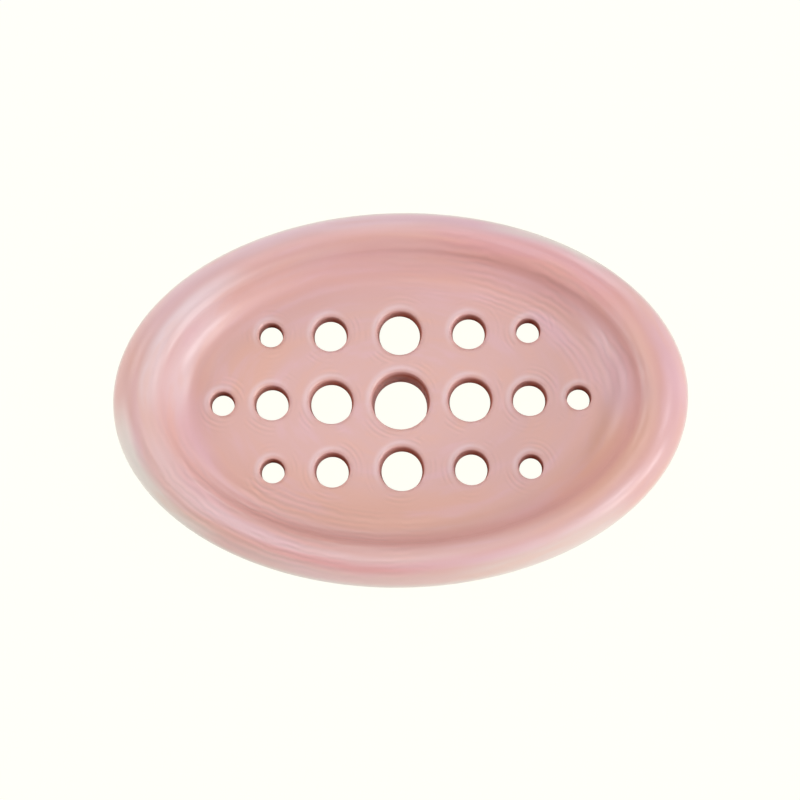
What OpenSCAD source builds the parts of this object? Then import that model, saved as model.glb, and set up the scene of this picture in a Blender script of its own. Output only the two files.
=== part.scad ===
// Oval soap dish: a one-piece moulded body with a wide rolled rim, a shallow soap recess and seventeen
// drain holes, standing on four soft push-in feet.
// Sizes are in millimetres. The origin is on the counter under the middle of the dish. +X runs along its
// length, +Y to the back and +Z up. The body is turned as a round dish and then pressed to its oval, so
// radial sizes are given at the ends of the dish and are narrower by depth over length at its sides.
// The middle hole runs on through a collar under the floor, so that water drips clear of the dish.

/* [Outline] */
// Length of the dish over its widest line
dish_length = 114; // [106:1:122]
// Depth of the dish, front to back, over its widest line
dish_depth = 75; // [70:1:80]
// Height of the rim's crest above the counter
dish_height = 20; // [19:0.5:23]

/* [Rim] */
// Radius of the rim's outer edge, from its crest down to the widest line
rim_radius = 6.8; // [6:0.1:7.4]
// Radius of the rim's inner edge, from its crest down to the steepest line of the recess wall
lip_radius = 5; // [4:0.1:6]
// Radius of the outer wall below the widest line
lower_radius = 14; // [13:0.5:15]
// Radius of the rounded edge between the outer wall and the base
base_round = 2; // [1.5:0.1:2.5]

/* [Recess] */
// Depth of the soap recess below the crest
recess_depth = 8; // [6.5:0.1:9]
// Distance from the outline in to the edge of the flat floor
floor_inset = 20; // [19:0.1:21]
// Thickness of the floor
floor_thickness = 4.6; // [4:0.1:5.2]

/* [Drain holes] */
// Diameter of the middle hole
middle_bore = 10.5; // [9:0.1:11]
// Diameter of the four holes next to the middle one
near_bore = 8.1; // [7:0.1:9]
// Diameter of the six holes that come next
outer_bore = 6.4; // [5.4:0.1:7]
// Diameter of the six holes at the ends of the rows
end_bore = 4.5; // [3.6:0.1:5.2]
// Radius of the rounded upper edge of a hole
bore_round = 0.5; // [0.3:0.05:0.8]
// Radius of the rounded lower edge of a hole
bore_under_round = 0.25; // [0.15:0.05:0.4]
// Wall of the collar under the middle hole
collar_wall = 2; // [1.6:0.1:2.4]
// Height of the collar's lower end above the counter
collar_lift = 3; // [2.6:0.1:4]

/* [Underside] */
// Height of the body's base above the counter
base_lift = 2.4; // [2:0.1:3]
// Width of the flat ring that the body ends in
base_land = 4.5; // [4:0.1:5.5]
// Radius of the ring's inner edge
land_round = 0.8; // [0.4:0.1:1.2]
// Radius of the corner between the hollow's wall and its ceiling
ceiling_fillet = 3; // [2:0.1:3.4]

/* [Feet] */
// Diameter of the boss that holds a foot
boss_diameter = 10.6; // [10:0.1:11.2]
// Diameter of a foot's pad
pad_diameter = 8.4; // [7.6:0.1:8.8]
// Radius of the pad's lower edge
pad_round = 0.9; // [0.5:0.1:1.2]
// Depth of the seat that the pad lies in
seat_depth = 1; // [0.6:0.1:1.4]
// Diameter of the barb that grips the socket
barb_diameter = 3.8; // [3.4:0.1:4.2]
// Diameter of the stem under the barb
stem_diameter = 3.2; // [2.6:0.1:3.3]
// Length of the stem above the pad
stem_length = 4; // [3.6:0.1:4.2]
// Gap round the pad in its seat
seat_clearance = 0.15; // [0.1:0.05:0.25]
// Gap round the barb in its socket, and above its tip
socket_clearance = 0.1; // [0.05:0.05:0.2]

/* [Hidden] */

// How far a cutting tool runs past the surface that it cuts
overrun = 1;
// How far the turned shell's own floor lies below the plate that makes the flat floor
floor_dip = 0.05;
// Steps in the small rounded edges
edge_steps = 5;
// The body is turned in this many equal slices, which meet between the rows of holes
slices = 4;
// Corners of the floor plate
plate_corners = 8;
// Facets of a full circle in a preview
$fn = 120;

oval = dish_depth / dish_length;

// Heights above the counter
girth_z = dish_height - rim_radius;
floor_z = dish_height - recess_depth;
shell_floor_z = floor_z - floor_dip;
ceiling_z = floor_z - floor_thickness;
middle_z = ceiling_z + floor_thickness / 2;
seat_z = base_lift + seat_depth;

// Radii at the ends of the dish
outline_r = dish_length / 2;
crest_r = outline_r - rim_radius;
floor_r = outline_r - floor_inset;

// The recess wall is a cove and the rim's inner edge, which meet at its steepest line
wall_run = crest_r - floor_r;
wall_slope = 2 * atan((recess_depth + floor_dip) / wall_run);
cove_radius = wall_run / sin(wall_slope) - lip_radius;
turn_r = crest_r - lip_radius * sin(wall_slope);
turn_z = dish_height - lip_radius * (1 - cos(wall_slope));

// The outer wall runs into the base's rounded edge, whose middle is over the edge of the flat ring
lower_r = outline_r - lower_radius;
edge_drop = girth_z - base_lift - base_round;
edge_run = sqrt(pow(lower_radius - base_round, 2) - pow(edge_drop, 2));
base_r = lower_r + edge_run;
edge_z = girth_z - edge_drop * lower_radius / (lower_radius - base_round);
hollow_r = base_r - base_land;

// Columns of holes as shares of the flat floor's half length, rows as a share of its half depth
column_shares = [0.373, 0.692, 0.957];
row_share = 0.563;
// Places of the feet as shares of the base's half length and half depth
foot_length_share = 0.72;
foot_depth_share = 0.505;
// How high the barb sits on the stem, and how long it is, as shares of the stem's length
barb_start_share = 0.4;
barb_width_share = 0.2;
// Width of the stem's tip as a share of the barb
tip_share = 0.55;

column_step = floor_r;
row_step = floor_r * oval * row_share;
foot_x = base_r * foot_length_share;
foot_y = base_r * oval * foot_depth_share;

// Points on an arc about a middle, from one angle to another
function arc(middle, radius, from, to) =
    [for (i = [0 : edge_steps])
        let (a = from + (to - from) * i / edge_steps)
        [middle[0] + radius * cos(a), middle[1] + radius * sin(a)]];

// Half section of the tool that cuts a drain hole down to a height, flared where the hole's edges are rounded
function hole_section(bore, end_z) = concat(
    [[0, end_z - overrun], [bore / 2 + bore_under_round, end_z - overrun]],
    arc([bore / 2 + bore_under_round, end_z + bore_under_round], bore_under_round, 270, 180),
    arc([bore / 2 + bore_round, floor_z - bore_round], bore_round, 180, 90),
    [[bore / 2 + bore_round, floor_z + recess_depth], [0, floor_z + recess_depth]]
);

// Half section of a foot: pad, stem, barb and tip
function foot_section() =
    let (barb_z = seat_z + stem_length * barb_start_share)
    concat(
        [[0, 0]],
        arc([pad_diameter / 2 - pad_round, pad_round], pad_round, 270, 360),
        [
            [pad_diameter / 2, seat_z],
            [stem_diameter / 2, seat_z],
            [stem_diameter / 2, barb_z],
            [barb_diameter / 2, barb_z],
            [barb_diameter / 2, barb_z + stem_length * barb_width_share],
            [barb_diameter / 2 * tip_share, seat_z + stem_length],
            [0, seat_z + stem_length]
        ]
    );

// Rectangle between two corners of the half section
module block(low, high) {
    translate(low) square(high - low);
}

// Disc in the half section
module disc(middle, radius) {
    translate(middle) circle(radius);
}

// Floor, out to where the cove starts
module floor_part() {
    block([0, ceiling_z], [floor_r, shell_floor_z]);
}

// Cove between the floor and the steepest line of the recess wall
module cove_part() {
    difference() {
        polygon([[floor_r, ceiling_z], [turn_r, ceiling_z], [turn_r, turn_z], [floor_r, shell_floor_z]]);
        disc([floor_r, shell_floor_z + cove_radius], cove_radius);
    }
}

// Rim above the widest line: its rounded inner edge, what carries that, and its outer edge
module rim_part() {
    intersection() {
        disc([crest_r, dish_height - lip_radius], lip_radius);
        block([turn_r, turn_z], [crest_r, dish_height + overrun]);
    }
    block([turn_r, girth_z], [crest_r, turn_z]);
    intersection() {
        disc([crest_r, girth_z], rim_radius);
        block([crest_r, girth_z], [outline_r + overrun, dish_height + overrun]);
    }
}

// Outer wall below the widest line, solid up to the hollow and the floor
module wall_part() {
    intersection() {
        disc([lower_r, girth_z], lower_radius);
        union() {
            block([hollow_r, edge_z], [outline_r + overrun, girth_z]);
            block([turn_r, ceiling_z], [outline_r + overrun, girth_z]);
        }
    }
}

// Flat ring of the base and its rounded outer edge
module base_part() {
    block([hollow_r, base_lift], [base_r, edge_z]);
    intersection() {
        disc([base_r, base_lift + base_round], base_round);
        block([base_r, base_lift - overrun], [outline_r + overrun, edge_z]);
    }
}

// Corner between the hollow's wall and its ceiling
module ceiling_corner() {
    middle = [hollow_r - ceiling_fillet, ceiling_z - ceiling_fillet];
    difference() {
        block(middle, [hollow_r, ceiling_z]);
        disc(middle, ceiling_fillet);
    }
}

// What the ring's rounded inner edge takes away
module land_corner() {
    middle = [hollow_r + land_round, base_lift + land_round];
    difference() {
        block([hollow_r - overrun, base_lift - overrun], middle);
        disc(middle, land_round);
    }
}

// Half section of the body
module body_section() {
    difference() {
        union() {
            floor_part();
            cove_part();
            rim_part();
            wall_part();
            base_part();
            ceiling_corner();
        }
        land_corner();
    }
}

// The body without its holes, turned round and pressed to its oval
module shell() {
    sweep = 360 / slices;
    for (i = [0 : slices - 1]) {
        scale([1, oval, 1]) rotate([0, 0, (i + 0.5) * sweep]) rotate_extrude(angle = sweep) body_section();
    }
}

// Plate that makes the flat floor; its edge lies inside the recess wall
module floor_plate() {
    corner = 360 / plate_corners;
    translate([0, 0, middle_z]) linear_extrude(floor_z - middle_z) polygon(
        [for (i = [0 : plate_corners - 1]) turn_r * [cos((i + 0.5) * corner), oval * sin((i + 0.5) * corner)]]
    );
}

module turned(points) {
    rotate_extrude() polygon(points);
}

module drain_hole(column, row, bore, end_z = ceiling_z) {
    translate([column * column_step, row * row_step, 0]) turned(hole_section(bore, end_z));
}

// Holes of one row, the same on both sides of its middle hole
module side_holes(row, bores) {
    for (i = [0 : len(bores) - 1]) {
        for (side = [-1, 1]) {
            drain_hole(side * column_shares[i], row, bores[i]);
        }
    }
}

module drain_holes() {
    drain_hole(0, 0, middle_bore, collar_lift);
    side_holes(0, [near_bore, outer_bore, end_bore]);
    for (row = [-1, 1]) {
        drain_hole(0, row, near_bore);
        side_holes(row, [outer_bore, end_bore]);
    }
}

// Collar under the floor round the middle hole
module drain_collar() {
    translate([0, 0, collar_lift]) cylinder(d = middle_bore + 2 * collar_wall, h = middle_z - collar_lift);
}

module at_foot(side, end) {
    translate([end * foot_x, side * foot_y, 0]) children();
}

module at_feet() {
    for (side = [-1, 1]) {
        for (end = [-1, 1]) {
            at_foot(side, end) children();
        }
    }
}

// Boss under the floor that a foot's stem goes up into
module foot_boss() {
    translate([0, 0, base_lift]) cylinder(d = boss_diameter, h = middle_z - base_lift);
}

// Seat for the pad and blind socket for the stem
module foot_socket() {
    translate([0, 0, base_lift - overrun])
        cylinder(d = pad_diameter + 2 * seat_clearance, h = seat_depth + overrun);
    translate([0, 0, base_lift])
        cylinder(d = barb_diameter + 2 * socket_clearance, h = seat_depth + stem_length + socket_clearance);
}

module dish_body() {
    color("#DEB0AA")
    difference() {
        union() {
            shell();
            floor_plate();
            drain_collar();
            at_feet() foot_boss();
        }
        drain_holes();
        at_feet() foot_socket();
    }
}

module foot(side, end) {
    color("#D9D2CC") at_foot(side, end) turned(foot_section());
}

module foot_front_left() {
    foot(-1, -1);
}

module foot_front_right() {
    foot(-1, 1);
}

module foot_back_left() {
    foot(1, -1);
}

module foot_back_right() {
    foot(1, 1);
}

dish_body();
foot_front_left();
foot_front_right();
foot_back_left();
foot_back_right();
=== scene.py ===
import math

import bmesh
import bpy
import numpy as np
from bpy.props import FloatProperty, FloatVectorProperty, PointerProperty
from bpy.types import Operator, Panel, PropertyGroup
from mathutils import Matrix, Vector
from mathutils.geometry import delaunay_2d_cdt


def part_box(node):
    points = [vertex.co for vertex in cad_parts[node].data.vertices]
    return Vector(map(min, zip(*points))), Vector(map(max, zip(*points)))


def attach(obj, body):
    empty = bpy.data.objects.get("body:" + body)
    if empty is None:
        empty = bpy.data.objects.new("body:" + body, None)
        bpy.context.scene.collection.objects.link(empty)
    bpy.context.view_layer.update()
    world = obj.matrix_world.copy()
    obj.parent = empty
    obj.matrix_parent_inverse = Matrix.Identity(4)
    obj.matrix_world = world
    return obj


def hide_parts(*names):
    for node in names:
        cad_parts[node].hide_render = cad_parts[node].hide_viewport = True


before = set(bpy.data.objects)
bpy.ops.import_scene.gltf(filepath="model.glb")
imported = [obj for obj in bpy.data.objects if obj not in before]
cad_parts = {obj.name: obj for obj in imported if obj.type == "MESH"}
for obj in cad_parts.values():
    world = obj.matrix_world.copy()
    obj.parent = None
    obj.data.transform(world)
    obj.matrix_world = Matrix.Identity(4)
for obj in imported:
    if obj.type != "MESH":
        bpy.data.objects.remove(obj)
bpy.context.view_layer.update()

bl_info = {
    "name": "Oval soap dish",
    "version": (1, 0, 0),
    "blender": (4, 5, 0),
    "location": "3D View > Sidebar > Soap Dish",
    "description": "Builds a pearl pink oval soap dish with drain holes and soft feet, and a studio for it",
    "category": "Object",
}

MM = 0.001
BODY_LOW, BODY_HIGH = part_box("dish_body")
FEET = ("foot_front_left", "foot_front_right", "foot_back_left", "foot_back_right")


def length(name, description, default):
    """A length that the sidebar shows in the scene's own unit."""
    return FloatProperty(
        name=name, description=description, default=default, min=0.0, precision=5,
        subtype="DISTANCE", unit="LENGTH",
    )


def colour(name, description, default):
    """A colour that the sidebar shows as a swatch."""
    return FloatVectorProperty(
        name=name, description=description, default=default, size=3, min=0.0, max=1.0, subtype="COLOR",
    )


class DishSizes(PropertyGroup):
    """Sizes of the moulded body; length, depth and height come from the frame."""

    dish_length: length("Length", "Length over the widest line", BODY_HIGH[0] - BODY_LOW[0])
    dish_depth: length("Depth", "Depth over the widest line", BODY_HIGH[1] - BODY_LOW[1])
    dish_height: length("Height", "Height of the crest above the counter", BODY_HIGH[2])
    base_lift: length("Base lift", "Height of the base above the counter", BODY_LOW[2])
    rim_radius: length("Rim radius", "Radius of the rim's outer edge", 6.8 * MM)
    lower_radius: length("Lower wall radius", "Radius of the outer wall below the widest line", 14 * MM)
    base_round: length("Base edge", "Radius of the edge between wall and base", 2 * MM)
    recess_depth: length("Recess depth", "Depth of the recess below the crest", 8 * MM)
    end_turn_inset: length(
        "Steep line, ends", "From the outline in to the steepest line, at the ends", 10 * MM,
    )
    side_turn_inset: length(
        "Steep line, sides", "From the outline in to the steepest line, at the sides", 8.15 * MM,
    )
    end_floor_inset: length(
        "Floor inset, ends", "From the outline in to the flat floor, at the ends", 18.5 * MM,
    )
    side_floor_inset: length(
        "Floor inset, sides", "From the outline in to the flat floor, at the sides", 14.3 * MM,
    )
    floor_thickness: length("Floor thickness", "Thickness of the floor", 4.6 * MM)
    base_land: length("Base ring", "Width of the flat ring that the body ends in", 4.5 * MM)
    land_round: length("Ring edge", "Radius of the ring's inner edge", 0.8 * MM)
    ceiling_fillet: length("Ceiling fillet", "Radius between the hollow's wall and ceiling", 3 * MM)
    bore_round: length("Upper hole edge", "Radius of a hole's rounded upper edge", 1 * MM)
    bore_under_round: length("Lower hole edge", "Radius of a hole's rounded lower edge", 0.25 * MM)
    middle_bore: length("Middle hole", "Clear diameter of the middle hole", 10.5 * MM)
    near_bore: length("Near holes", "Clear diameter of the four holes next to it", 8.1 * MM)
    outer_bore: length("Outer holes", "Clear diameter of the six holes that come next", 6.4 * MM)
    end_bore: length("End holes", "Clear diameter of the six holes at the ends of the rows", 4.5 * MM)
    collar_wall: length("Collar wall", "Wall of the collar under the middle hole", 2 * MM)
    collar_lift: length("Collar lift", "Height of the collar's lower end above the counter", 3 * MM)
    collar_round: length("Collar edge", "Radius of the collar's outer edges", 0.4 * MM)
    boss_diameter: length("Foot boss", "Diameter of the boss that holds a foot", 10.6 * MM)


class FootSizes(PropertyGroup):
    """Sizes of a push-in foot; its place and height come from the frame."""

    pad_round: length("Pad edge", "Radius of the pad's lower edge", 0.9 * MM)
    pad_shoulder: length("Pad shoulder", "Radius of the pad's upper edge", 0.25 * MM)
    seat_depth: length("Seat depth", "Depth of the seat that the pad lies in", 1 * MM)
    barb_diameter: length("Barb", "Diameter of the barb on the stem", 3.8 * MM)
    stem_diameter: length("Stem", "Diameter of the stem", 3.2 * MM)
    stem_length: length("Stem length", "Length of the stem above the pad", 4 * MM)
    seat_clearance: length("Seat gap", "Gap round the pad in its seat", 0.15 * MM)
    socket_clearance: length("Socket gap", "Gap round the barb in its socket", 0.1 * MM)


class Relief(PropertyGroup):
    """Fine relief in the moulded surface."""

    wave_height: length("Wave height", "Half height of the waves that follow the rim", 0.06 * MM)
    wave_pitch: length("Wave pitch", "Distance between two waves, at the ends", 1.7 * MM)
    line_height: length("Line height", "Half height of the fine lines inside the rim", 0.03 * MM)
    line_pitch: length("Line pitch", "Distance between two fine lines, at the ends", 1.5 * MM)
    ring_height: length("Ring height", "Half height of the rings round the holes", 0.03 * MM)
    ring_pitch: length("Ring pitch", "Distance between two rings", 1 * MM)
    grain_height: length("Grain height", "Height of the fine grain all over", 0.004 * MM)


class Finish(PropertyGroup):
    """Colours of the pearl plastic and of the soft feet; blush, shade and bore also serve as painted shade,
    sheen as painted highlight and mist as painted reflection.
    """

    rose: colour("Rose", "Main colour of the pearl plastic", (0.710, 0.425, 0.395))
    # Blush: a pink of the pearl, also laid on as painted shade in dips of the recess wall
    blush: colour("Blush", "Strongest pink in the pearl", (0.735, 0.370, 0.365))
    peach: colour("Peach", "Warm drift in the pearl", (0.755, 0.420, 0.325))
    lavender: colour("Lavender", "Cool drift in the pearl", (0.740, 0.465, 0.530))
    # Sheen: pale pink laid on as painted highlights, on the left wall's streaks and the rims of the holes
    sheen: colour("Sheen", "Palest pink in the pearl", (0.800, 0.615, 0.640))
    # Mist: painted reflection of the pale ground on the edge where the rim turns away
    mist: colour("Mist", "Pale grey where the rim turns away", (0.750, 0.670, 0.620))
    # Shade: painted shade on the steep recess wall and on stretches of the rim
    shade: colour("Shade", "Deeper tone on the steep wall of the recess", (0.660, 0.360, 0.330))
    # Bore: painted shade inside the drain holes
    bore: colour("Bore", "Deep tone inside the drain holes", (0.410, 0.118, 0.076))
    silicone: colour("Silicone", "Colour of the feet", (0.62, 0.57, 0.53))
    dust: colour("Dust", "Pale bloom on the silicone", (0.74, 0.71, 0.68))


class Studio(PropertyGroup):
    """Camera, lamps and floor."""

    elevation: FloatProperty(
        name="Elevation", description="Angle of the camera above the horizon",
        default=math.radians(80), subtype="ANGLE", unit="ROTATION",
    )
    roll: FloatProperty(
        name="Roll", description="Turn of the camera about its view",
        default=0.017, subtype="ANGLE", unit="ROTATION",
    )
    distance: length("Distance", "Distance from the camera to the widest line", 800 * MM)
    scale: FloatProperty(
        name="Scale", description="Pixels in a millimetre of the widest line, in a picture 800 pixels wide",
        default=5.045,
    )
    aim_x: FloatProperty(
        name="Aim x", description="Pixels that the dish stands right of the middle", default=0.7,
    )
    aim_y: FloatProperty(
        name="Aim y", description="Pixels that the dish stands below the middle", default=-0.9,
    )
    ivory: colour("Ground", "Colour of the ground as the camera sees it", (1.0, 1.0, 0.913))


# Width of the picture in pixels, and of the camera's sensor in millimetres
PICTURE, SENSOR = 800, 36.0

# Steps round the body, in a hole's upper edge, down its wall, round a foot and round a boss
RING_STEPS, EDGE_STEPS, WALL_STEPS, FOOT_STEPS, BOSS_STEPS = 360, 5, 3, 72, 64
# Distance between points: on the wall and rim, on plain stretches, round a hole, on the floor and under it
FINE, PLAIN, HOLE_PITCH, FLOOR_PITCH, CEILING_PITCH = 0.2 * MM, 0.9 * MM, 0.3 * MM, 0.42 * MM, 1.6 * MM
# Edges that bend further than this stay crisp
SHARP_ANGLE = math.radians(35)
# Divides the count of points round a hole, and the distance within which a plate's triangles join points
HOLE_MULTIPLE, MERGE = 8, 1e-9
# Search for the ring that a place lies on: points over the rim, steps, how far out it looks, and a length
# that stands for none
RIM_POINTS, SEARCH_STEPS, SEARCH_REACH, TINY = 60, 28, 1.02, 1e-6
# Ring inside which the floor and its ceiling are meshed round the holes, as an inset at the ends
PLATE_INSET = 16.6 * MM
# Columns of holes as shares of the dish's half length, rows as a share of its half depth
COLUMN_SHARES, ROW_SHARE = (0, 0.2421, 0.4492, 0.6212), 0.3655
# How far a hole's upper edge bends before its wall starts
EDGE_SWEEP = math.radians(55)
# How much wider a hole is below its upper edge than at its lower end
FLARE_SHARE = 0.11
# Places of the feet as shares of the base's half length and half depth
FOOT_LENGTH_SHARE, FOOT_DEPTH_SHARE = 0.72, 0.505
# Where the barb starts on the stem and how long it is, as shares of the stem's length
BARB_START_SHARE, BARB_LENGTH_SHARE = 0.4, 0.2
# Tip of the stem as a share of the barb, and the first ring of a pad as a share of the pad
TIP_SHARE, PAD_RING_SHARE = 0.55, 0.35
# Chamfer on a boss's lower edge
BOSS_EDGE = 0.3 * MM

# Where the waves and the fine lines show: middle and half width of the stretch in turn, inner and
# outer ring at the ends
WAVE_PATCHES = (
    (math.radians(232), math.radians(42), 42 * MM, 58 * MM),
    (math.radians(58), math.radians(40), 43 * MM, 52 * MM),
)
LINE_PATCHES = (
    (math.radians(234), math.radians(48), 36 * MM, 58 * MM),
    (math.radians(46), math.radians(50), 34 * MM, 51 * MM),
)
# Distance over which both fade in and out across the rings
WAVE_FADE = 3 * MM
# How the waves wander along the rim: how often in a full turn, and how far, in radians
WAVE_WANDER = ((3, 1.5), (7, 1.0))
# Noise that bends the fine lines and the rings round the holes: its scale, and how far each bends
BEND_SCALE, LINE_BEND, RING_BEND = 160.0, 9, 3
# Noise that breaks the lines off: its scale, and the spans of noise in which lines and rings appear
BREAK_SCALE, LINE_BREAK, RING_BREAK = 110.0, (0.36, 0.6), (0.42, 0.58)
# Gaps to a hole, in millimetres, between which its rings fade out and fade in
RING_FAR, RING_NEAR = (3.6, 0.7), (0.05, 0.3)

# Drifts of the pearl by tone: turn about the middle and half width in degrees, ring and half width
# as shares of the outline, and strength; Peach and Lavender drift the hue, the others also paint light and
# shade
DRIFTS = {
    # Shade: painted shade on stretches of the rim, the recess wall and the floor by it
    "Shade": (
        (181, 14, 0.7, 0.05, 0.5), (2, 24, 0.97, 0.045, 0.6), (342, 34, 0.94, 0.06, 1.0),
        (52, 26, 0.87, 0.06, 1.0), (240, 20, 0.85, 0.03, 0.5),
    ),
    # Blush: partly pearl pink, partly painted shade in the dips of the recess wall
    "Blush": (
        (52, 26, 0.83, 0.09, 0.8), (57, 22, 0.88, 0.05, 0.9), (120, 32, 0.92, 0.05, 0.4),
        (264, 34, 0.925, 0.03, 0.9), (20, 22, 0.9, 0.05, 0.3), (95, 50, 0.68, 0.14, 0.2),
        (90, 40, 0.86, 0.05, 0.3),
    ),
    "Peach": (
        (258, 42, 0.62, 0.15, 0.75), (333, 20, 0.79, 0.13, 1.0), (182, 14, 0.89, 0.05, 0.5),
        (205, 22, 0.62, 0.14, 0.2), (160, 20, 0.56, 0.12, 0.6), (18, 16, 0.88, 0.05, 0.3),
    ),
    "Lavender": (
        (192, 16, 0.75, 0.06, 0.4), (94, 54, 0.97, 0.05, 1.0), (62, 20, 0.9, 0.05, 0.2),
        (35, 9, 0.63, 0.06, 0.5), (17, 10, 0.66, 0.06, 0.3), (8, 20, 0.79, 0.06, 0.5),
        (330, 40, 0.95, 0.05, 0.3), (12, 18, 0.97, 0.05, 0.55),
    ),
    # Sheen: painted highlights, among them the two streaks on the left inner wall
    "Sheen": (
        (163, 20, 0.785, 0.035, 0.65), (160, 20, 0.83, 0.03, 0.35), (158, 22, 0.878, 0.035, 0.9),
        (186, 18, 0.84, 0.07, 0.25), (215, 26, 0.9, 0.05, 0.25), (250, 30, 0.895, 0.03, 0.3),
        (248, 20, 0.75, 0.04, 0.25), (300, 26, 0.93, 0.03, 0.4), (30, 14, 0.79, 0.04, 0.3),
        (120, 34, 0.95, 0.06, 0.4), (142, 12, 0.85, 0.05, 0.45), (328, 20, 0.975, 0.04, 0.1),
        (130, 24, 0.79, 0.04, 0.25), (222, 20, 0.79, 0.04, 0.2), (70, 24, 0.78, 0.04, 0.2),
    ),
    # Mist: painted reflection of the pale ground on the outer edge
    "Mist": (
        (205, 20, 0.99, 0.04, 1.0), (302, 18, 0.985, 0.04, 0.65), (57, 12, 0.975, 0.04, 0.8),
        (262, 26, 0.99, 0.04, 0.2),
    ),
}
# Half widths at which a drift ends and at which it is full
DRIFT_END, DRIFT_FULL = 1.4, 0.2
# How far the drifts sway: scale of the noise, and share of the outline
SWAY_SCALE, SWAY_SHARE = 45.0, 0.08
# Streaks along the rings: how tight they lie along and across them, scale and detail of the noise
STREAK_ALONG, STREAK_ACROSS, STREAK_SCALE, STREAK_DETAIL = 1.5, 12, 1.3, 3
# Spans of the noise in which a streak turns cool and warm, and its strength
COOL_SPAN, WARM_SPAN, FLOW_SHARE = (0.5, 0.72), (0.5, 0.28), 0.35
# Painted reflection of the pale ground on the thin edge where the rim turns away: span of the facing in which
# it grows, its share, and how far it fades past the crest, in mm
EDGE_REFLECTION_SPAN, EDGE_REFLECTION_SHARE, EDGE_FADE = (0.6, 0.95), 0.7, 2
# The same span and share for the painted shade on the steep wall of the recess
WALL_SHADE_SPAN, WALL_SHADE_SHARE = (0.1, 0.6), 0.7
# Turn in degrees toward which the wall faces the key lamps and keeps its main tone, and the cosines between
# which painted shade takes its place
LIT_WALL_TURN, LIT_WALL_TURN_SPAN = 150, (0.7, 0)
# How much the fine lines change the brightness, partly as pearl tone and partly as painted light and shade of
# their relief, and how strong the painted highlight on a hole's rim is
LINE_TONE_AND_SHADE, RIM_HIGHLIGHT_SHARE = 0.065, 0.6
# Level of the plain reflections and least share of the painted hole shade, outside and inside the holes
PLASTICS = {"pearl_plastic": (0.5, 0.0), "bore_shaded_plastic": (0.0, 0.15)}
PLASTIC_ROUGHNESS, ROUGHNESS_DRIFT = 0.34, 0.03
# Grain: scale on the plastic and the silicone, how much finer its second noise is and that one's share
PLASTIC_GRAIN, SILICONE_GRAIN, FINER_SCALE, FINER_SHARE = 700.0, 1600.0, 3.7, 0.3
# Span of the grain in which its pale specks appear
SPECK_SPAN = (0.45, 0.65)
# Silicone: how much higher its grain is, its roughness, how much specks add to it, and how milky it is
SILICONE_HEIGHT, SILICONE_ROUGHNESS, SPECK_ROUGHNESS, SILICONE_MILK = 3, 0.55, 0.15, 0.15

# Depth over which a hole takes its painted shade, the shade's share, and how much of it the collar loses
HOLE_SHADE_FADE, HOLE_SHADE_SHARE, COLLAR_SHADE_LOSS = 1.6 * MM, 0.95, 0.9
# Side on which a hole's wall faces the key lamps and is painted paler as if lit, and how much of its painted
# shade it loses there
LIT_SIDE_WAY, LIT_SIDE_SHARE = (-0.97, 0.24), 0.7
# Painted highlight on a hole's rounded rim where it faces the key lamps: the way that it leans to, its least
# strength, its middle and half width in the gap
RIM_HIGHLIGHT_WAY, RIM_HIGHLIGHT_LEAST, RIM_HIGHLIGHT_MIDDLE, RIM_HIGHLIGHT_HALF = (-0.7, 0.7), 0.15, -0.1 * MM, 0.8 * MM
# Way on both sides of a hole in which the rings round it show
ARC_WAY = (0.64, 0.77)
# Slack within which a point still counts as lying on a hole's wall, and a gap wider than any
GAP_SLACK, FAR_OFF = 0.02 * MM, 1.0

# Half width of the ground in metres, its colour as light bounces off it, and the share that shadows take
GROUND_HALF, GROUND_BOUNCE, SHADOW_SHARE = 3.0, (0.95, 0.95, 0.90), 0.04
# Soft square lamps: turn about the dish and height in degrees, power in watts, width in metres
LAMPS = {
    "key": (-36, 40, 1.95, 0.14),
    "key_right": (0, 40, 1.45, 0.14),
    "key_low": (-24, 16, 2.20, 0.14),
    "front_low": (-42, 16, 1.60, 0.14),
    "front": (300, 28, 1.05, 0.35),
    "back_right": (60, 12, 2.01, 0.35),
    "back": (90, 28, 1.21, 0.35),
    "back_left": (150, 28, 1.75, 0.35),
    "left_low": (180, 12, 1.70, 0.35),
    "front_left": (210, 28, 1.71, 0.35),
    "top_back": (90, 62, 1.28, 0.35),
    "top_left": (180, 62, 1.64, 0.35),
    "top": (0, 90, 1.05, 0.35),
}
# Distance of the lamps from the dish, and nearest distance that the camera sees, in metres
LAMP_DISTANCE, CAMERA_CLIP = 1.0, 0.01


class Wall:
    """The recess wall in one upright plane: a cove and the rim's inner edge, met at the steepest line."""

    def __init__(self, crest, turn, floor, floor_z, top_z):
        self.crest, self.floor, self.floor_z, self.top_z = crest, floor, floor_z, top_z
        self.slope = 2 * math.atan((top_z - floor_z) / (crest - floor))
        self.lip = (crest - turn) / math.sin(self.slope)
        self.cove = (turn - floor) / math.sin(self.slope)
        self.turn_z = top_z - self.lip * (1 - math.cos(self.slope))

    def heights(self, start, pitch):
        """Heights of evenly spaced points from a place in the cove up to the crest."""
        low = math.asin((start - self.floor) / self.cove)
        cove = np.linspace(low, self.slope, steps_for(self.cove, self.slope - low, pitch) + 1)
        lip = np.linspace(self.slope, 0, steps_for(self.lip, self.slope, pitch) + 1)[1:]
        under = self.floor_z + self.cove * (1 - np.cos(cove))
        return np.concatenate([under, self.top_z - self.lip * (1 - np.cos(lip))])

    def reach(self, z):
        """Distance from the middle of the dish at a height."""
        under = self.cove**2 - (self.cove - (z - self.floor_z)) ** 2
        over = self.lip**2 - (self.lip - (self.top_z - z)) ** 2
        low = self.floor + np.sqrt(np.clip(under, 0, None))
        high = self.crest - np.sqrt(np.clip(over, 0, None))
        return np.where(z < self.turn_z, low, high)


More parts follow.
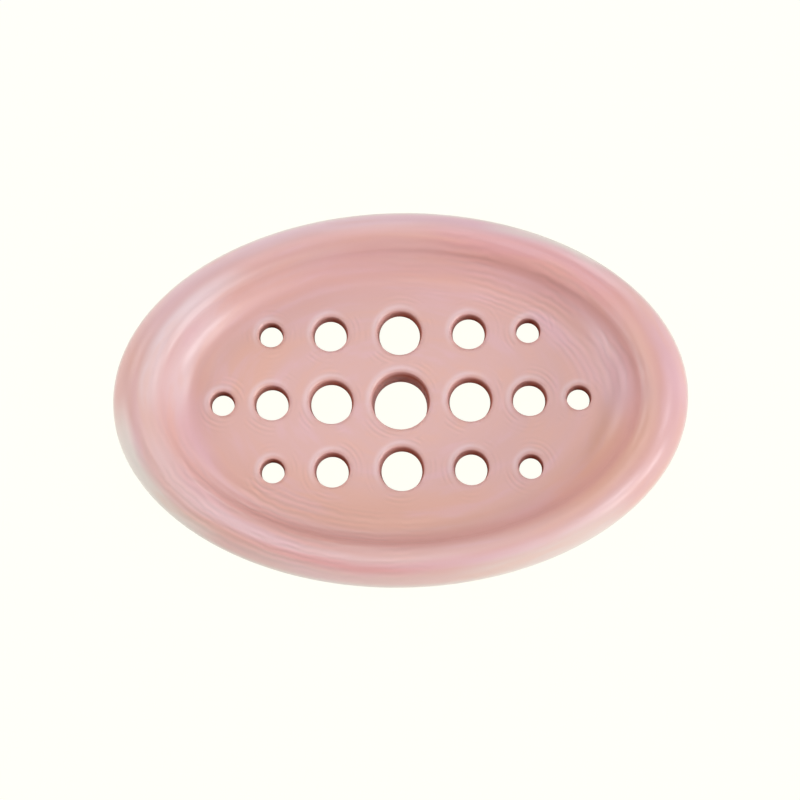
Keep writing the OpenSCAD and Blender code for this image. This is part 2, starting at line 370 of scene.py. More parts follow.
class Section:
    """The body's shape: rings with a half length, a half depth and a height."""

    def __init__(self, s):
        self.sizes = s
        self.half_x, self.half_y = s.dish_length / 2, s.dish_depth / 2
        self.oval = s.dish_depth / s.dish_length
        self.girth_z = s.dish_height - s.rim_radius
        self.floor_z = s.dish_height - s.recess_depth
        self.ceiling_z = self.floor_z - s.floor_thickness
        self.crest_r = self.half_x - s.rim_radius
        self.lower_r = self.half_x - s.lower_radius
        drop = self.girth_z - s.base_lift - s.base_round
        self.base_r = self.lower_r + math.sqrt((s.lower_radius - s.base_round) ** 2 - drop**2)
        self.base_angle = math.asin(drop / (s.lower_radius - s.base_round))
        self.hollow_r = self.base_r - s.base_land
        self.plate_r = self.half_x - PLATE_INSET
        self.ends = Wall(
            self.crest_r, self.half_x - s.end_turn_inset, self.half_x - s.end_floor_inset,
            self.floor_z, s.dish_height,
        )
        self.sides = Wall(
            self.crest_r * self.oval, self.half_y - s.side_turn_inset, self.half_y - s.side_floor_inset,
            self.floor_z, s.dish_height,
        )
        wall = self.recess_rings(self.ends.floor, FINE / 4)
        rim = np.linspace(self.crest_r, self.half_x, RIM_POINTS)[1:]
        self.ring_x = np.concatenate([[0, self.ends.floor], wall[1:, 0], rim])
        self.ring_y = np.concatenate([[0, self.sides.floor], wall[1:, 1], rim * self.oval])
        over = np.sqrt(s.rim_radius**2 - (rim - self.crest_r) ** 2)
        self.ring_z = np.concatenate([[self.floor_z] * 2, wall[1:, 2], self.girth_z + over])
        self.edge_drop = s.bore_round * (1 - math.cos(EDGE_SWEEP))
        self.holes = self.hole_list()

    def hole_reach(self, bore):
        """Radius at which the floor starts to bend into a hole."""
        return bore / 2 * (1 + FLARE_SHARE) + self.sizes.bore_round * math.sin(EDGE_SWEEP)

    def recess_rings(self, start, pitch):
        """Rings of the recess wall from a place in the cove up to the crest."""
        z = self.ends.heights(start, pitch)
        return np.column_stack([self.ends.reach(z), self.sides.reach(z), z])

    def ring_of(self, x, y):
        """Half length of the ring that a place on the upper side lies on."""
        low, high = np.full(np.shape(x), TINY), np.full(np.shape(x), self.half_x * SEARCH_REACH)
        for _ in range(SEARCH_STEPS):
            middle = (low + high) / 2
            depth = np.interp(middle, self.ring_x, self.ring_y)
            outside = np.hypot(x / middle, y / np.maximum(depth, TINY)) > 1
            low, high = np.where(outside, middle, low), np.where(outside, high, middle)
        return (low + high) / 2

    def top(self, x, y):
        """Height of the upper side at a place."""
        return np.interp(self.ring_of(x, y), self.ring_x, self.ring_z)

    def shell(self):
        """Every ring from the floor plate over the rim and base to the ceiling plate."""
        s = self.sizes
        path = turned_arc((self.crest_r, self.girth_z), s.rim_radius, math.pi / 2, 0, FINE)[1:]
        path += turned_arc((self.lower_r, self.girth_z), s.lower_radius, 0, -self.base_angle, PLAIN)[1:]
        path += turned_arc(
            (self.base_r, s.base_lift + s.base_round), s.base_round, -self.base_angle, -math.pi / 2, PLAIN / 2
        )[1:]
        inner = (self.hollow_r + s.land_round, s.base_lift + s.land_round)
        path += turned_arc(inner, s.land_round, -math.pi / 2, -math.pi, PLAIN / 4)
        corner = (self.hollow_r - s.ceiling_fillet, self.ceiling_z - s.ceiling_fillet)
        path += turned_arc(corner, s.ceiling_fillet, 0, math.pi / 2, PLAIN / 1.5)
        path += [(self.plate_r, self.ceiling_z)]
        return self.recess_rings(self.plate_r, FINE).tolist() + [(r, r * self.oval, z) for r, z in path]

    def hole_list(self):
        """(x, y, bore) of every drain hole, the middle one first."""
        s = self.sizes
        bores = (s.middle_bore, s.near_bore, s.outer_bore, s.end_bore)
        holes = []
        for row in (0, -1, 1):
            y = row * ROW_SHARE * self.half_y
            for column, bore in enumerate(bores[abs(row):]):
                for side in (1,) if column == 0 else (-1, 1):
                    holes.append((side * COLUMN_SHARES[column] * self.half_x, y, bore))
        return holes


def steps_for(radius, sweep, pitch):
    """How many steps an arc takes at about a pitch."""
    return max(2, round(abs(radius * sweep) / pitch))


def turned_arc(middle, radius, start, end, pitch):
    """Points on an arc about a middle, from one angle to another."""
    count = steps_for(radius, end - start, pitch)
    angles = [start + (end - start) * i / count for i in range(count + 1)]
    return [(middle[0] + radius * math.cos(a), middle[1] + radius * math.sin(a)) for a in angles]


def ring_points(count, half_x, half_y, z, x=0, y=0):
    """Evenly spaced points on an oval about a place, at one height or at one for each."""
    turn = np.arange(count) * 2 * math.pi / count
    return np.column_stack([x + half_x * np.cos(turn), y + half_y * np.sin(turn), np.full(count, z)])


def flat_points(half_x, half_y, holes, pitch, edge):
    """Points that fill an oval plate between its holes, in rows set like bricks."""
    row_step = pitch * math.sqrt(3) / 2
    rows, columns = int(half_y / row_step), int(half_x / pitch)
    points = np.array([
        ((i + 0.5 * (j % 2)) * pitch, j * row_step)
        for j in range(-rows, rows + 1) for i in range(-columns, columns + 1)
    ])
    points = points[np.hypot(points[:, 0] / (half_x - edge), points[:, 1] / (half_y - edge)) < 1]
    for x, y, reach, _ in holes:
        points = points[np.hypot(points[:, 0] - x, points[:, 1] - y) > reach + edge]
    return points


def patch_mask(patches, ring, turn):
    """Share of the waves or lines at a ring and a turn about the middle."""
    mask = np.zeros(np.broadcast(ring, turn).shape)
    for centre, half, low, high in patches:
        off = np.abs((turn - centre + math.pi) % (2 * math.pi) - math.pi)
        across = np.clip((ring - low) / WAVE_FADE, 0, 1) * np.clip((high - ring) / WAVE_FADE, 0, 1)
        mask = mask + np.clip(1 - (off / half) ** 2, 0, 1) * across
    return mask


def waves(section, detail, x, y, ring):
    """Height of the waves that follow the rim."""
    turn = np.arctan2(y / section.half_y, x / section.half_x)
    phase = 2 * math.pi * ring / detail.wave_pitch
    for times, far in WAVE_WANDER:
        phase = phase + far * np.sin(times * turn)
    return detail.wave_height * patch_mask(WAVE_PATCHES, ring, turn) * np.sin(phase)


class MeshParts:
    """Collects points and faces of one closed mesh."""

    def __init__(self):
        self.points = []
        self.faces = []
        self.count = 0

    def add_points(self, points):
        """Takes in points, and returns their numbers."""
        first = self.count
        self.points.append(np.asarray(points, float))
        self.count += len(points)
        return np.arange(first, self.count)

    def bridge(self, rings):
        """Quads between rings of point numbers, each ring one row of an array."""
        here = np.asarray(rings)
        after = np.roll(here, -1, axis=1)
        quads = np.stack([here[:-1], after[:-1], after[1:], here[1:]], axis=-1)
        self.faces += quads.reshape(-1, 4).tolist()

    def mesh(self, name):
        """The collected points and faces as a mesh."""
        data = bpy.data.meshes.new(name)
        data.from_pydata(np.concatenate(self.points).tolist(), [], self.faces)
        data.validate()
        return data


def fill_plate(parts, border, hole_rings, inner, faces_up):
    """Triangles between the plate's border and the rings round its holes."""
    numbers = np.concatenate([border, *hole_rings, inner])
    edges = []
    start = 0
    for ring in (border, *hole_rings):
        size = len(ring)
        edges += [(start + i, start + (i + 1) % size) for i in range(size)]
        start += size
    flat = [Vector(p) for p in np.concatenate(parts.points)[numbers, :2].tolist()]
    points, _, found, origins, _, _ = delaunay_2d_cdt(flat, edges, [], 0, MERGE)
    at, tris = np.array([p[:] for p in points]), np.array([list(f) for f in found])
    source = np.array([o[0] for o in origins])
    # A triangle whose three corners lie on one hole's ring is inside that hole
    sizes = [len(border), *map(len, hole_rings), len(inner)]
    corner = np.repeat([-1, *range(len(hole_rings)), -1], sizes)[source[tris]]
    inside = (corner[:, 0] >= 0) & (corner == corner[:, :1]).all(axis=1)
    tris = tris[~inside]
    a, b, c = at[tris.T]
    area = (b[:, 0] - a[:, 0]) * (c[:, 1] - a[:, 1]) - (b[:, 1] - a[:, 1]) * (c[:, 0] - a[:, 0])
    flip = (area < 0) == faces_up
    tris[flip] = tris[flip][:, ::-1]
    parts.faces += numbers[source[tris]].tolist()


def hole_path(section, bore, collar):
    """Radius and height of each ring from a hole's lower end on, round the collar and up to the ceiling."""
    s = section.sizes
    r, low_z, under, edge = bore / 2, section.ceiling_z, s.bore_under_round, s.collar_round
    if collar:
        low_z = s.collar_lift
    path = turned_arc((r + under, low_z + under), under, math.pi, 1.5 * math.pi, under / 2)
    if collar:
        outer = r + s.collar_wall
        path += turned_arc((outer - edge, low_z + edge), edge, -math.pi / 2, 0, edge / 3)
        path += turned_arc((outer + edge, section.ceiling_z - edge), edge, math.pi, math.pi / 2, edge / 3)
    return path


def build_body_mesh(section, detail):
    """The moulded body without its foot bosses, as one closed mesh."""
    s = section.sizes
    parts = MeshParts()
    shell, rings = section.shell(), []
    for half_x, half_y, z in shell:
        ring = ring_points(RING_STEPS, half_x, half_y, z)
        if z > section.floor_z:
            ring[:, 2] += waves(section, detail, ring[:, 0], ring[:, 1], half_x)
        rings.append(parts.add_points(ring))
    parts.bridge(rings[::-1])
    # Place, reach and ring of each hole's upper and lower end
    upper, lower = [], []
    for number, (x, y, bore) in enumerate(section.holes):
        count = HOLE_MULTIPLE * round(bore * math.pi / (HOLE_MULTIPLE * HOLE_PITCH))
        wide, reach = bore / 2 * (1 + FLARE_SHARE), section.hole_reach(bore)
        top = section.top(*ring_points(count, reach, reach, 0, x, y)[:, :2].T)
        path = hole_path(section, bore, number == 0)
        levels = []
        for a in np.linspace(0, EDGE_SWEEP, EDGE_STEPS + 1):
            levels.append((reach - s.bore_round * math.sin(a), top - s.bore_round * (1 - math.cos(a))))
        high = top - section.edge_drop
        for share in np.linspace(0, 1, WALL_STEPS + 1)[1:-1]:
            levels.append((wide + (bore / 2 - wide) * share, high + (path[0][1] - high) * share))
        column = [parts.add_points(ring_points(count, r, r, z, x, y)) for r, z in levels + path]
        parts.bridge(column)
        upper.append((x, y, reach, column[0]))
        lower.append((x, y, path[-1][0], column[-1]))
    plates = (
        (upper, 0, section.top, FLOOR_PITCH, FLOOR_PITCH / 2, True),
        (lower, -1, lambda x, y: np.full(len(x), section.ceiling_z), CEILING_PITCH, CEILING_PITCH / 3, False),
    )
    for holes, end, height, pitch, edge, faces_up in plates:
        inner = flat_points(*shell[end][:2], holes, pitch, edge)
        numbers = parts.add_points(np.column_stack([inner, height(*inner.T)]))
        fill_plate(parts, rings[end], [hole[3] for hole in holes], numbers, faces_up)
    return parts.mesh("dish_body_pearl")


def revolve(name, section_points, steps):
    """A closed mesh turned from a half section that starts and ends on the axis."""
    parts = MeshParts()
    rings = [parts.add_points(ring_points(steps, r, r, z)) for r, z in section_points[1:-1]]
    parts.bridge(rings)
    for (_, z), ring, order in ((section_points[0], rings[0], -1), (section_points[-1], rings[-1], 1)):
        tip = int(parts.add_points([(0, 0, z)])[0])
        for i in range(steps):
            pair = [int(ring[i]), int(ring[(i + 1) % steps])]
            parts.faces.append([tip, *pair[::order]])
    return parts.mesh(name)


def tidy_normals(data):
    """Faces look outward, and edges sharper than a soft bend stay crisp."""
    work = bmesh.new()
    work.from_mesh(data)
    bmesh.ops.recalc_face_normals(work, faces=work.faces)
    for face in work.faces:
        face.smooth = True
    for edge in work.edges:
        edge.smooth = edge.calc_face_angle(0) < SHARP_ANGLE
    work.to_mesh(data)
    work.free()


def new_object(name, data):
    """An object in the scene that holds a mesh, lamp or camera."""
    obj = bpy.data.objects.new(name, data)
    bpy.context.scene.collection.objects.link(obj)
    return obj


def boolean(obj, cutter_data, operation):
    """Joins or cuts with a closed mesh, and applies the result."""
    cutter = new_object("cutter", cutter_data)
    modifier = obj.modifiers.new("cut", "BOOLEAN")
    modifier.object = cutter
    modifier.operation = operation
    modifier.solver = "MANIFOLD"
    bpy.context.view_layer.update()
    made = bpy.data.meshes.new_from_object(obj.evaluated_get(bpy.context.evaluated_depsgraph_get()))
    obj.modifiers.clear()
    old = obj.data
    made.name = old.name
    obj.data = made
    bpy.data.meshes.remove(old)
    bpy.data.objects.remove(cutter)


def foot_places(section):
    """Places of the four bosses and sockets."""
    x = section.base_r * FOOT_LENGTH_SHARE
    y = section.base_r * section.oval * FOOT_DEPTH_SHARE
    return [(end * x, side * y) for side in (-1, 1) for end in (-1, 1)]


class Tree:
    """Adds and joins the nodes of one node tree."""

    def __init__(self, tree):
        self.tree = tree

    def node(self, kind, **settings):
        made = self.tree.nodes.new("ShaderNode" + kind)
        for name, value in settings.items():
            setattr(made, name, value)
        return made

    def feed(self, socket, value):
        if isinstance(value, bpy.types.NodeSocket):
            self.tree.links.new(value, socket)
        else:
            socket.default_value = value

    def wired(self, kind, values, **settings):
        """Outputs of a new node whose first inputs are fed in turn."""
        made = self.node(kind, **settings)
        for socket, value in zip(made.inputs, values):
            self.feed(socket, value)
        return made.outputs

    def math(self, operation, *values):
        return self.wired("Math", values, operation=operation)[0]

    def times(self, product, *values):
        """Product of two or more values."""
        for value in values:
            product = self.math("MULTIPLY", product, value)
        return product

    def vector(self, operation, *values):
        made = self.wired("VectorMath", values, operation=operation)
        return made["Value" if operation in ("DOT_PRODUCT", "LENGTH") else "Vector"]

    def fade(self, value, low, high):
        """Smooth step from 0 at one value to 1 at another."""
        return self.wired("MapRange", (value, low, high, 0, 1), interpolation_type="SMOOTHSTEP")[0]

    def mix(self, share, low, high):
        made = self.node("Mix", data_type="RGBA")
        for number, value in ((0, share), (6, low), (7, high)):
            self.feed(made.inputs[number], value)
        return made.outputs[2]

    def noise(self, vector, scale, detail=2.0):
        made = self.node("TexNoise")
        self.feed(made.inputs["Vector"], vector)
        self.feed(made.inputs["Scale"], scale)
        self.feed(made.inputs["Detail"], detail)
        return made.outputs["Fac"]


def new_group(name, inputs, outputs):
    """An empty node group with named sockets, its tree, its input sockets and its output node."""
    group = bpy.data.node_groups.new(name, "ShaderNodeTree")
    for label, kind, value in inputs:
        socket = group.interface.new_socket(label, in_out="INPUT", socket_type="NodeSocket" + kind)
        if value is not None:
            socket.default_value = value
    for label, kind in outputs:
        group.interface.new_socket(label, in_out="OUTPUT", socket_type="NodeSocket" + kind)
    tree = Tree(group)
    entry = group.nodes.new("NodeGroupInput")
    leave = group.nodes.new("NodeGroupOutput")
    return group, tree, entry.outputs, leave.inputs


def turned_way(degrees):
    """Direction at a turn about the middle."""
    turn = math.radians(degrees)
    return math.cos(turn), math.sin(turn), 0


def pearl_drift_group(section):
    """Colour of the pearl: its main tone, with soft drifts that lie along the rings of the dish and partly
    paint light and shade, and a mask of painted shade for the recess wall.
    """
    inputs = [(name, "Color", None) for name in ("Rose", *DRIFTS)] + [("Flow", "Float", FLOW_SHARE)]
    outputs = [("Color", "Color"), ("Cloud", "Float"), ("Wall", "Float")]
    group, tree, given, out = new_group("pearl_drift", inputs, outputs)
    place = tree.node("TexCoord").outputs["Object"]
    flat = tree.vector("MULTIPLY", place, (1 / section.half_x, 1 / section.half_y, 0))
    way = tree.vector("NORMALIZE", flat)
    sway = tree.math("SUBTRACT", tree.noise(place, SWAY_SCALE), 0.5)
    ring = tree.math("ADD", tree.vector("LENGTH", flat), tree.times(sway, SWAY_SHARE))
    colour = given["Rose"]
    for tone, drifts in DRIFTS.items():
        for turn, half_turn, middle, half, strength in drifts:
            half_turn = math.radians(half_turn)
            near = tree.vector("DOT_PRODUCT", way, turned_way(turn))
            along = tree.fade(near, math.cos(half_turn * DRIFT_END), math.cos(half_turn * DRIFT_FULL))
            off = tree.math("ABSOLUTE", tree.math("SUBTRACT", ring, middle))
            across = tree.fade(off, half * DRIFT_END, half * DRIFT_FULL)
            colour = tree.mix(tree.times(along, across, strength), colour, given[tone])
    along = tree.vector("MULTIPLY", way, (STREAK_ALONG, STREAK_ALONG, 0))
    across = tree.wired("CombineXYZ", (0, 0, tree.times(ring, STREAK_ACROSS)))[0]
    streak = tree.noise(tree.vector("ADD", along, across), STREAK_SCALE, STREAK_DETAIL)
    cool = tree.times(tree.fade(streak, *COOL_SPAN), given["Flow"])
    warm = tree.times(tree.fade(streak, *WARM_SPAN), given["Flow"])
    colour = tree.mix(warm, tree.mix(cool, colour, given["Lavender"]), given["Peach"])
    tree.feed(out["Color"], colour)
    tree.feed(out["Cloud"], streak)
    # Mask of painted shade on the recess wall, left out where the wall faces the key lamps
    side = tree.vector("DOT_PRODUCT", way, turned_way(LIT_WALL_TURN))
    tree.feed(out["Wall"], tree.times(tree.fade(side, *LIT_WALL_TURN_SPAN), WALL_SHADE_SHARE))
    return group


def fine_grain_group():
    """Fine grain of a moulded surface: its height, and a mask of its pale specks."""
    inputs = [("Scale", "Float", PLASTIC_GRAIN), ("Height", "Float", 1.0)]
    group, tree, given, out = new_group("fine_grain", inputs, [("Height", "Float"), ("Mask", "Float")])
    place = tree.node("TexCoord").outputs["Object"]
    coarse = tree.noise(place, given["Scale"], 3)
    fine = tree.noise(place, tree.times(given["Scale"], FINER_SCALE), 2)
    both = tree.math("ADD", tree.times(coarse, 1 - FINER_SHARE), tree.times(fine, FINER_SHARE))
    tree.feed(out["Height"], tree.times(both, given["Height"]))
    tree.feed(out["Mask"], tree.fade(both, *SPECK_SPAN))
    return group


def shared_grain():
    """The grain's group, made when it is first asked for."""
    return bpy.data.node_groups.get("fine_grain") or fine_grain_group()


def place_group(tree, group, **values):
    """A node that holds a group, with its inputs fed by name."""
    made = tree.node("Group", node_tree=group)
    for name, value in values.items():
        tree.feed(made.inputs[name], value)
    return made.outputs


def field(tree, name):
    """A number that the mesh carries on each of its points."""
    return tree.node("Attribute", attribute_name=name).outputs["Fac"]


def ripple(tree, distance, pitch, bend):
    """Sine over a distance in millimetres, pushed on by a bend in radians."""
    phase = tree.math("ADD", tree.times(distance, 2 * math.pi * MM / pitch), bend)
    return tree.math("SINE", phase)


def fine_lines(tree, detail):
    """Height in millimetres of the fine lines by the rim and the rings round the holes, and their brightness,
    partly pearl tone and partly painted light and shade of that relief.
    """
    place = tree.node("TexCoord").outputs["Object"]
    ring, gap = field(tree, "ring"), field(tree, "gap")
    bend = tree.noise(place, BEND_SCALE)
    lines = ripple(tree, ring, detail.line_pitch, tree.times(bend, LINE_BEND))
    lines = tree.times(lines, field(tree, "lines"), tree.fade(tree.noise(place, BREAK_SCALE), *LINE_BREAK))
    reach = tree.times(tree.fade(gap, *RING_FAR), tree.fade(gap, *RING_NEAR))
    rings = ripple(tree, gap, detail.ring_pitch, tree.times(bend, RING_BEND))
    rings = tree.times(rings, reach, tree.fade(bend, *RING_BREAK), field(tree, "arc"))
    height = tree.times(lines, detail.line_height / MM)
    height = tree.math("ADD", height, tree.times(rings, detail.ring_height / MM))
    # Brightness along the lines and rings: partly pearl tone, partly painted light and shade of their relief
    tone = tree.math("MULTIPLY_ADD", tree.math("ADD", lines, rings), LINE_TONE_AND_SHADE, 1)
    return height, tone


def new_material(name):
    """A material with its tree and its shader."""
    material = bpy.data.materials.new(name)
    material.use_nodes = True
    return material, Tree(material.node_tree), material.node_tree.nodes["Principled BSDF"]


def add_bump(tree, shader, height):
    """Bends the shader's normal by a height in millimetres."""
    bump = tree.node("Bump")
    bump.inputs["Distance"].default_value = MM
    tree.feed(bump.inputs["Height"], height)
    tree.feed(shader.inputs["Normal"], bump.outputs["Normal"])


def plastic_material(name, pearl_group, section, colours, detail, grain):
    """Pearl plastic, shiny outside the holes and matt inside them, with painted shade on the recess wall and
    in the holes, painted highlights and a painted reflection on the edge.
    """
    level, least = PLASTICS[name]
    material, tree, shader = new_material(name)
    shader.inputs["Specular IOR Level"].default_value = level
    tones = {label: (*getattr(colours, label.lower()), 1) for label in ("Rose", *DRIFTS)}
    pearl = place_group(tree, pearl_group, **tones)
    specks = place_group(tree, grain, Scale=PLASTIC_GRAIN, Height=detail.grain_height / MM)
    facing = tree.node("LayerWeight").outputs["Facing"]
    crest = section.crest_r / MM
    outer = tree.fade(field(tree, "ring"), crest - EDGE_FADE, crest + EDGE_FADE)
    # Painted shade on the steep recess wall inside the crest
    wall = tree.times(tree.fade(facing, *WALL_SHADE_SPAN), pearl["Wall"], tree.math("SUBTRACT", 1, outer))
    # Painted reflection of the pale ground on the edge past the crest, where it turns from the camera
    edge = tree.times(tree.fade(facing, *EDGE_REFLECTION_SPAN), EDGE_REFLECTION_SHARE, outer)
    height, tone = fine_lines(tree, detail)
    colour = tree.mix(wall, pearl["Color"], tones["Shade"])
    # Painted highlight on the hole rims, in the sheen tone
    colour = tree.mix(tree.times(field(tree, "rim_highlight"), RIM_HIGHLIGHT_SHARE), colour, tones["Sheen"])
    # Fine lines: brightness that is partly pearl tone, partly painted light and shade
    colour = tree.vector("MULTIPLY", colour, tree.wired("CombineXYZ", [tone] * 3)[0])
    colour = tree.mix(edge, colour, tones["Mist"])
    # Painted shade inside the holes, with a least share on every face inside them
    colour = tree.mix(tree.math("MAXIMUM", field(tree, "bore"), least), colour, (*colours.bore, 1))
    tree.feed(shader.inputs["Base Color"], colour)
    drift = tree.times(pearl["Cloud"], 2 * ROUGHNESS_DRIFT)
    tree.feed(shader.inputs["Roughness"], tree.math("ADD", PLASTIC_ROUGHNESS - ROUGHNESS_DRIFT, drift))
    add_bump(tree, shader, tree.math("ADD", height, specks["Height"]))
    return material


def silicone_material(colours, detail, grain):
    """Soft silicone with a pale bloom."""
    material, tree, shader = new_material("soft_silicone")
    height = SILICONE_HEIGHT * detail.grain_height / MM
    specks = place_group(tree, grain, Scale=SILICONE_GRAIN, Height=height)
    colour = tree.mix(specks["Mask"], (*colours.silicone, 1), (*colours.dust, 1))
    tree.feed(shader.inputs["Base Color"], colour)
    rough = tree.times(specks["Mask"], SPECK_ROUGHNESS)
    tree.feed(shader.inputs["Roughness"], tree.math("ADD", SILICONE_ROUGHNESS, rough))
    shader.inputs["Subsurface Weight"].default_value = SILICONE_MILK
    shader.inputs["Subsurface Scale"].default_value = MM
    add_bump(tree, shader, specks["Height"])
    return material


def store_fields(data, section):
    """Gives each point its ring, its gap to a hole in mm and its masks, among them the painted shade in the
    holes and the painted highlight on their rims, and each face its finish.
    """
    co = np.empty(len(data.vertices) * 3)
    data.vertices.foreach_get("co", co)
    x, y, z = co.reshape(-1, 3).T
    ring = section.ring_of(x, y)
    gap = np.full(len(x), FAR_OFF)
    ways, leanings = np.zeros((3, len(x))), np.array([RIM_HIGHLIGHT_WAY, ARC_WAY, LIT_SIDE_WAY])
    for hole_x, hole_y, bore in section.holes:
        off = np.hypot(x - hole_x, y - hole_y)
        near = off - section.hole_reach(bore)
        way = np.stack([x - hole_x, y - hole_y]) / np.maximum(off, GAP_SLACK / 2)
        ways = np.where(near < gap, leanings @ way, ways)
        gap = np.minimum(near, gap)
    highlight_lean, along, pale = ways
    s = section.sizes
    # Painted shade in the holes: it grows with depth below the upper edge and mostly leaves the collar under
    # the middle hole
    depth = np.clip((section.floor_z - section.edge_drop - z) / HOLE_SHADE_FADE, 0, 1)
    depth = depth * (1 - COLLAR_SHADE_LOSS * np.clip((section.ceiling_z - z) / HOLE_SHADE_FADE, 0, 1))
    low_z = np.where(np.hypot(x, y) < section.hole_reach(s.middle_bore), s.collar_lift, section.ceiling_z)
    inside = (gap < GAP_SLACK - s.bore_round * math.sin(EDGE_SWEEP)) & (z > low_z + GAP_SLACK)
    # Less painted shade on the side of a hole's wall that faces the key lamps, painted paler as if lit
    hole_shade = np.where(inside, depth, 0) * HOLE_SHADE_SHARE * (1 - LIT_SIDE_SHARE * np.clip(pale, 0, 1))
    # Painted highlight on the part of a hole's rounded rim that leans toward the key lamps
    rim_highlight = np.clip(highlight_lean + RIM_HIGHLIGHT_LEAST, 0, 1) * np.clip(1 - np.abs(gap - RIM_HIGHLIGHT_MIDDLE) / RIM_HIGHLIGHT_HALF, 0, 1)
    lines = patch_mask(LINE_PATCHES, ring, np.arctan2(y / section.half_y, x / section.half_x))
    fields = {"ring": ring / MM, "gap": gap / MM, "lines": lines, "bore": hole_shade, "arc": along**2, "rim_highlight": rim_highlight}
    for name, values in fields.items():
        data.attributes.new(name, "FLOAT", "POINT").data.foreach_set("value", values.astype(np.float32))
    loops = np.empty(len(data.loops), np.int32)
    data.loops.foreach_get("vertex_index", loops)
    starts = np.empty(len(data.polygons), np.int32)
    data.polygons.foreach_get("loop_start", starts)
    matt = np.minimum.reduceat(inside[loops].astype(np.int32), starts)
    data.polygons.foreach_set("material_index", matt)


class DISH_OT_body(Operator):
    """Build the moulded body with its drain holes, bosses and sockets"""

    bl_idname = "soap_dish.body"
    bl_label = "Moulded body"

    def execute(self, context):
        s, feet = context.scene.dish_sizes, context.scene.foot_sizes
        section = Section(s)
        body = new_object("dish_body_pearl", build_body_mesh(section, context.scene.dish_relief))
        colours, detail = context.scene.dish_finish, context.scene.dish_relief
        pearl = pearl_drift_group(section)
        for name in PLASTICS:
            finish = plastic_material(name, pearl, section, colours, detail, shared_grain())
            body.data.materials.append(finish)
        pad_r = pad_width() / 2 + feet.seat_clearance
        socket_r = feet.barb_diameter / 2 + feet.socket_clearance
        seat_z = s.base_lift + feet.seat_depth
        socket_z = seat_z + feet.stem_length + feet.socket_clearance
        boss_r, boss_z = s.boss_diameter / 2, section.ceiling_z + s.floor_thickness / 2
        boss = [(0, s.base_lift), (boss_r - BOSS_EDGE, s.base_lift), (boss_r, s.base_lift + BOSS_EDGE)]
        boss += [(boss_r, boss_z), (0, boss_z)]
        socket = [(0, s.base_lift - MM), (pad_r, s.base_lift - MM), (pad_r, seat_z), (socket_r, seat_z)]
        socket += [(socket_r, socket_z), (0, socket_z)]
        for operation, points in (("UNION", boss), ("DIFFERENCE", socket)):
            for x, y in foot_places(section):
                tool = revolve("tool", points, BOSS_STEPS)
                tool.transform(Matrix.Translation((x, y, 0)))
                tidy_normals(tool)
                boolean(body, tool, operation)
        tidy_normals(body.data)
        store_fields(body.data, section)
        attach(body, "root")
        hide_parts("dish_body")
        return {"FINISHED"}


def pad_width():
    """Width of a foot's pad in the frame."""
    low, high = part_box(FEET[0])
    return high[0] - low[0]


class DISH_OT_feet(Operator):
    """Build the four soft push-in feet"""

    bl_idname = "soap_dish.feet"
    bl_label = "Push-in feet"

    def execute(self, context):
        f = context.scene.foot_sizes
        material = silicone_material(context.scene.dish_finish, context.scene.dish_relief, shared_grain())
        for node in FEET:
            low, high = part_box(node)
            middle = ((low[0] + high[0]) / 2, (low[1] + high[1]) / 2, 0)
            pad_r = (high[0] - low[0]) / 2
            seat_z = high[2] - f.stem_length
            stem_r, barb_r = f.stem_diameter / 2, f.barb_diameter / 2
            barb_z = seat_z + f.stem_length * BARB_START_SHARE
            tip_z = barb_z + f.stem_length * BARB_LENGTH_SHARE
            edge, shoulder = f.pad_round, f.pad_shoulder
            points = [(0, 0), (pad_r * PAD_RING_SHARE, 0)]
            points += turned_arc((pad_r - edge, edge), edge, -math.pi / 2, 0, edge / 5)
            corner = (pad_r - shoulder, seat_z - shoulder)
            points += turned_arc(corner, shoulder, 0, math.pi / 2, shoulder / 3)
            points += [(stem_r, seat_z), (stem_r, barb_z), (barb_r, barb_z), (barb_r, tip_z)]
            points += [(barb_r * TIP_SHARE, high[2]), (0, high[2])]
            data = revolve(node + "_soft", points, FOOT_STEPS)
            data.transform(Matrix.Translation(middle))
            tidy_normals(data)
            foot = new_object(node + "_soft", data)
            foot.data.materials.append(material)
            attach(foot, "root")
            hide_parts(node)
        return {"FINISHED"}


def ground_material(ivory):
    """Pale ground: the camera and reflections see its plain colour with a faint shadow."""
    material, tree, _ = new_material("studio_ground")
    tree.tree.nodes.clear()
    bounce = tree.wired("BsdfDiffuse", [(*GROUND_BOUNCE, 1)])[0]
    faint = tree.wired("BsdfDiffuse", [(*[c * SHADOW_SHARE for c in ivory], 1)])[0]
    glow = tree.wired("Emission", [(*ivory, 1), 1])[0]
    seen = tree.wired("AddShader", (faint, glow))[0]
    path = tree.node("LightPath").outputs
    either = tree.math("MAXIMUM", path["Is Camera Ray"], path["Is Glossy Ray"])
    either = tree.math("MAXIMUM", either, path["Is Transmission Ray"])
    tree.wired("OutputMaterial", tree.wired("MixShader", (either, bounce, seen)))
    return material


def area_lamp(name, place, width, power, target):
    """Square soft lamp that shines at a target."""
    data = bpy.data.lights.new(name, "AREA")
    data.shape = "RECTANGLE"
    data.size, data.size_y = width, width
    data.energy = power
    lamp = new_object(name, data)
    lamp.location = place
    lamp.rotation_euler = (Vector(target) - Vector(place)).to_track_quat("-Z", "Y").to_euler()


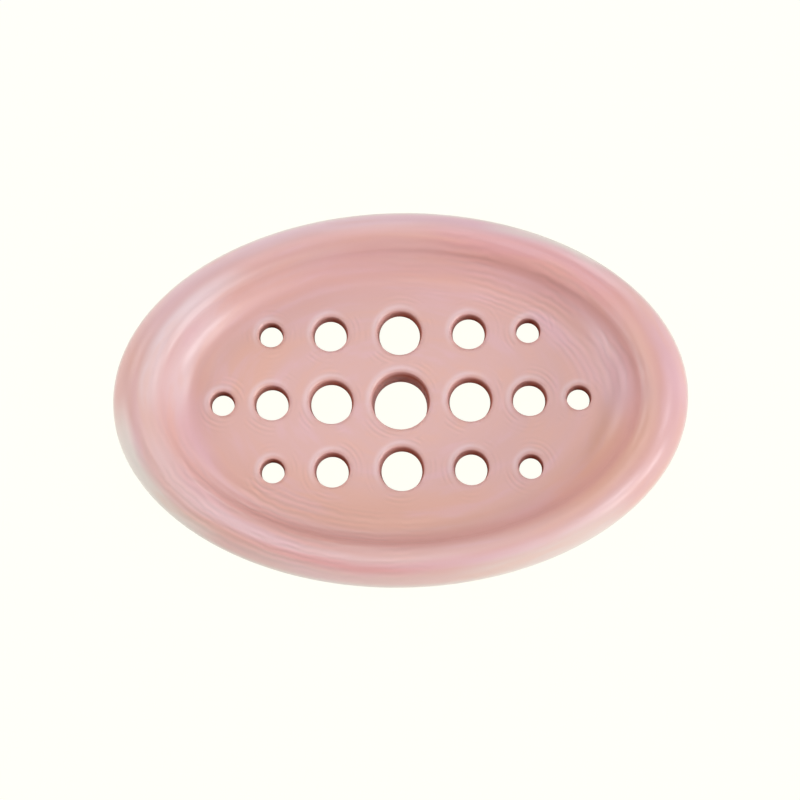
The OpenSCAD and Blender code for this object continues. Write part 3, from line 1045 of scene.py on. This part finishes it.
class DISH_OT_stage(Operator):
    """Build the floor, the studio lamps and the camera"""

    bl_idname = "soap_dish.stage"
    bl_label = "Studio"

    def execute(self, context):
        scene, studio = context.scene, context.scene.dish_studio
        section = Section(scene.dish_sizes)
        data = bpy.data.meshes.new("ground")
        corners = [(x * GROUND_HALF, y * GROUND_HALF, 0) for x, y in ((-1, -1), (1, -1), (1, 1), (-1, 1))]
        data.from_pydata(corners, [], [(0, 1, 2, 3)])
        ground = new_object("ground", data)
        data.materials.append(ground_material(studio.ivory))
        world = bpy.data.worlds.new("studio_world")
        scene.world = world
        world.use_nodes = True
        world.node_tree.nodes["Background"].inputs["Strength"].default_value = 0.0
        aim = Vector((0, 0, section.floor_z))
        for name, (turn, height, power, width) in LAMPS.items():
            turn, height = math.radians(turn), math.radians(height)
            flat = math.cos(height)
            way = Vector((math.cos(turn) * flat, math.sin(turn) * flat, math.sin(height)))
            area_lamp(name, way * LAMP_DISTANCE, width, power, aim)
        camera_data = bpy.data.cameras.new("camera")
        camera_data.sensor_width = SENSOR
        focal_px = studio.scale * studio.distance / MM
        camera_data.lens = focal_px * SENSOR / PICTURE
        camera_data.shift_x = -studio.aim_x / PICTURE
        camera_data.shift_y = studio.aim_y / PICTURE
        camera_data.clip_start = CAMERA_CLIP
        camera = new_object("camera", camera_data)
        aim = Vector((0, 0, section.girth_z))
        back = Vector((0, -math.cos(studio.elevation), math.sin(studio.elevation)))
        camera.location = aim + back * studio.distance
        turn = (-back).to_track_quat("-Z", "Y").to_matrix() @ Matrix.Rotation(-studio.roll, 3, "Z")
        camera.rotation_euler = turn.to_euler()
        scene.camera = camera
        scene.view_settings.view_transform = "Standard"
        return {"FINISHED"}


class DISH_PT_panel(Panel):
    """Sidebar panel that lists the builders and their settings"""

    bl_label = "Oval soap dish"
    bl_idname = "DISH_PT_panel"
    bl_space_type = "VIEW_3D"
    bl_region_type = "UI"
    bl_category = "Soap Dish"

    def draw(self, context):
        for group in GROUPS:
            box = self.layout.box()
            settings = getattr(context.scene, group)
            for name in settings.__annotations__:
                box.prop(settings, name)
        for operator in OPERATORS:
            self.layout.operator(operator.bl_idname)


GROUPS = {
    "dish_sizes": DishSizes,
    "foot_sizes": FootSizes,
    "dish_relief": Relief,
    "dish_finish": Finish,
    "dish_studio": Studio,
}
OPERATORS = (DISH_OT_body, DISH_OT_feet, DISH_OT_stage)


def register():
    """Registers the classes and hangs their settings on the scene."""
    for cls in (*GROUPS.values(), *OPERATORS, DISH_PT_panel):
        bpy.utils.register_class(cls)
    for name, cls in GROUPS.items():
        setattr(bpy.types.Scene, name, PointerProperty(type=cls))


def unregister():
    """Takes the settings and classes away again."""
    for name in GROUPS:
        delattr(bpy.types.Scene, name)
    for cls in reversed((*GROUPS.values(), *OPERATORS, DISH_PT_panel)):
        bpy.utils.unregister_class(cls)


def main():
    """Builds every piece and the stage."""
    register()
    bpy.ops.soap_dish.body()
    bpy.ops.soap_dish.feet()
    bpy.ops.soap_dish.stage()
    bpy.context.view_layer.update()


if __name__ == "__main__":
    main()
